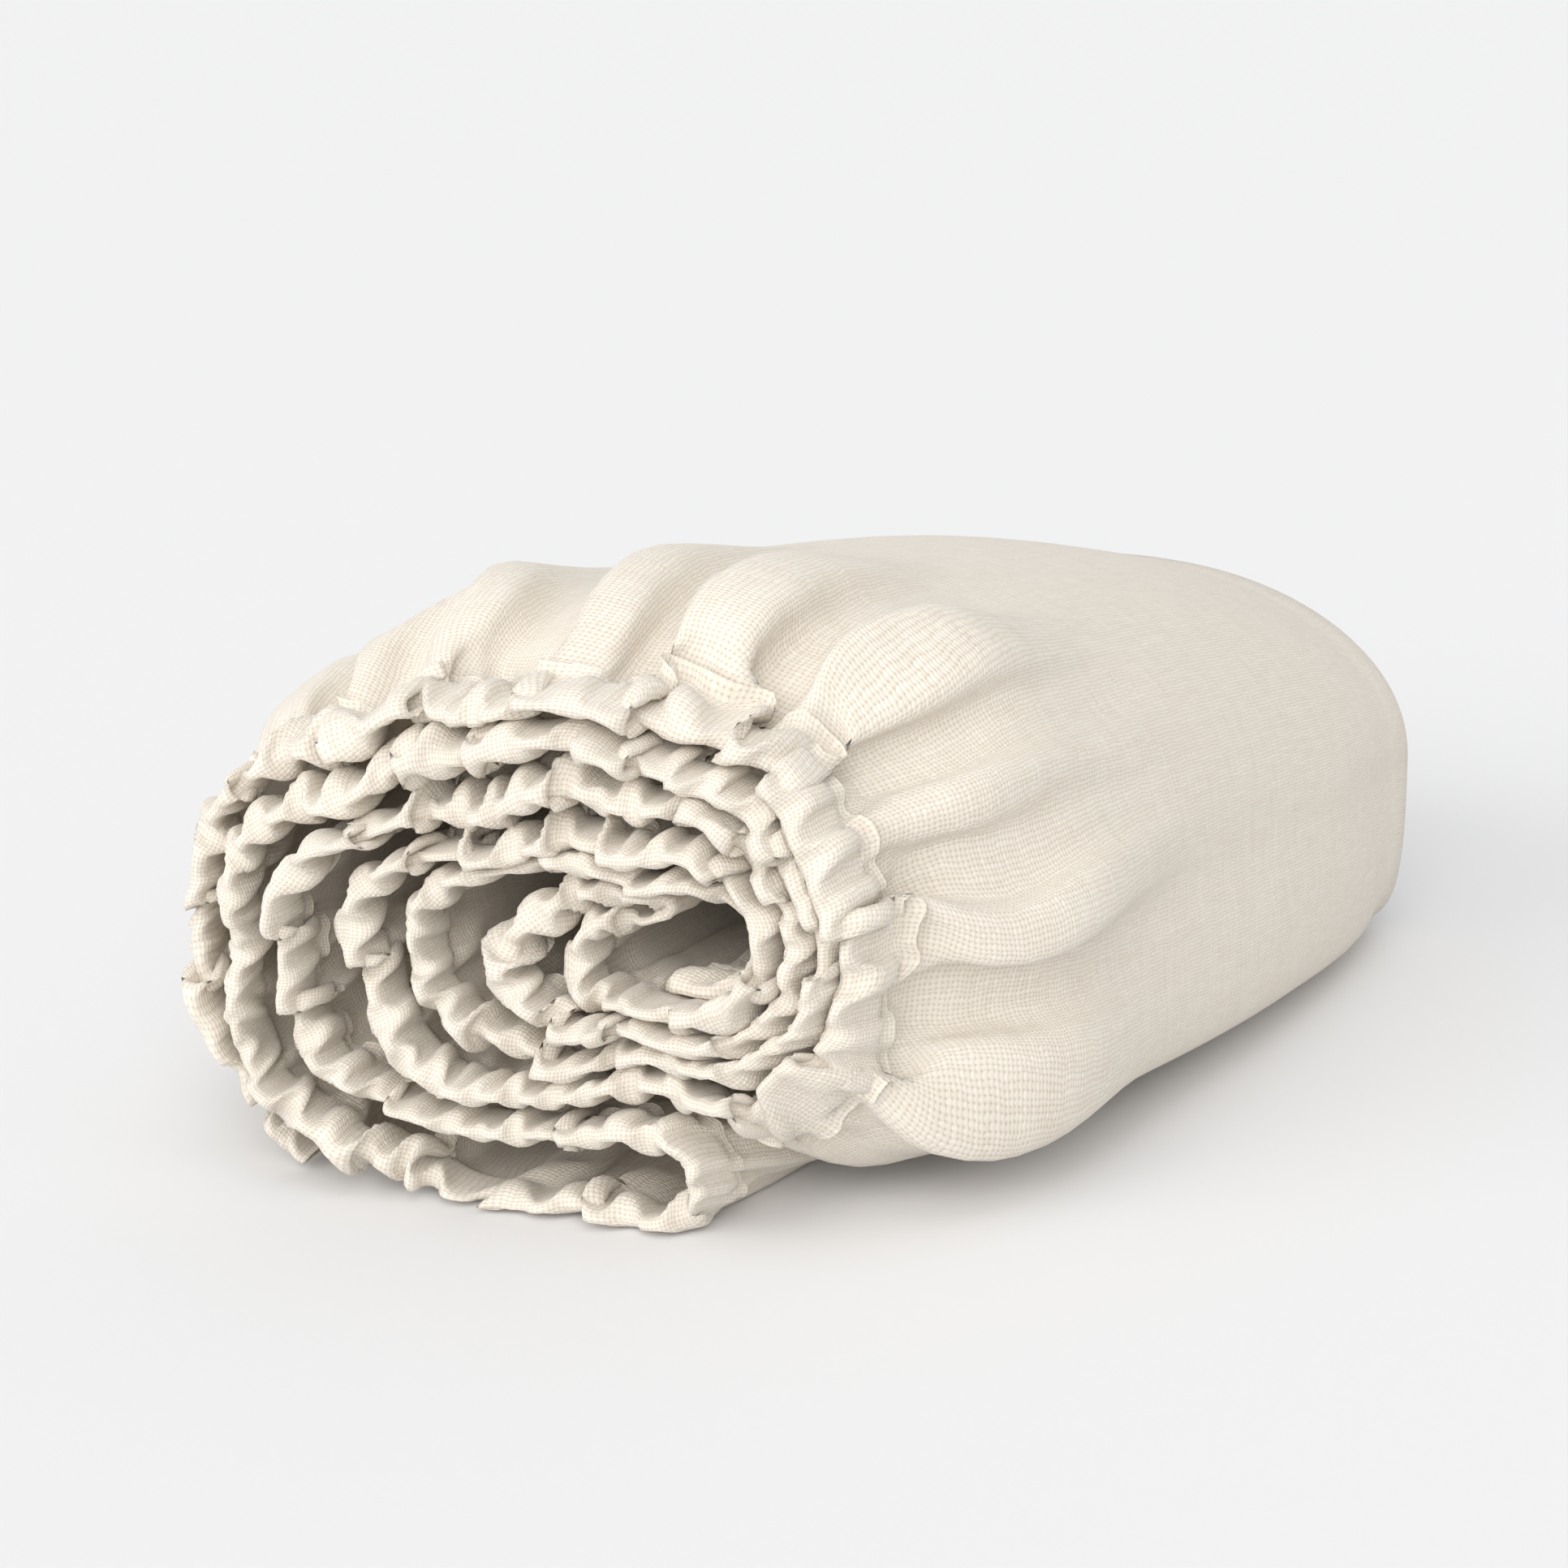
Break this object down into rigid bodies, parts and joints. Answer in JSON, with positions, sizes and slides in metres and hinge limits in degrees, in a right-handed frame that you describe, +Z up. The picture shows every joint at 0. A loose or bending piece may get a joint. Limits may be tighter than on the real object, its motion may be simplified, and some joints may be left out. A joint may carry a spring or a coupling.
{
  "type": "rolled linen fitted sheet",
  "caption": "Small natural linen fitted sheet, rolled up and lying on its side, with a gathered elasticated hem at the near end.",
  "frame": {"origin": "middle of the bounding box, on the floor plane", "axes": "+Z up, +Y along the roll from the gathered hem to the back fold, +X to the right seen from the hem"},
  "size_m": [0.172, 0.265, 0.1115],
  "materials": {
    "linen": "plain-weave natural linen, matt"
  },
  "bodies": {
    "root": {"linen_sheet": "linen"}
  },
  "joints": []
}
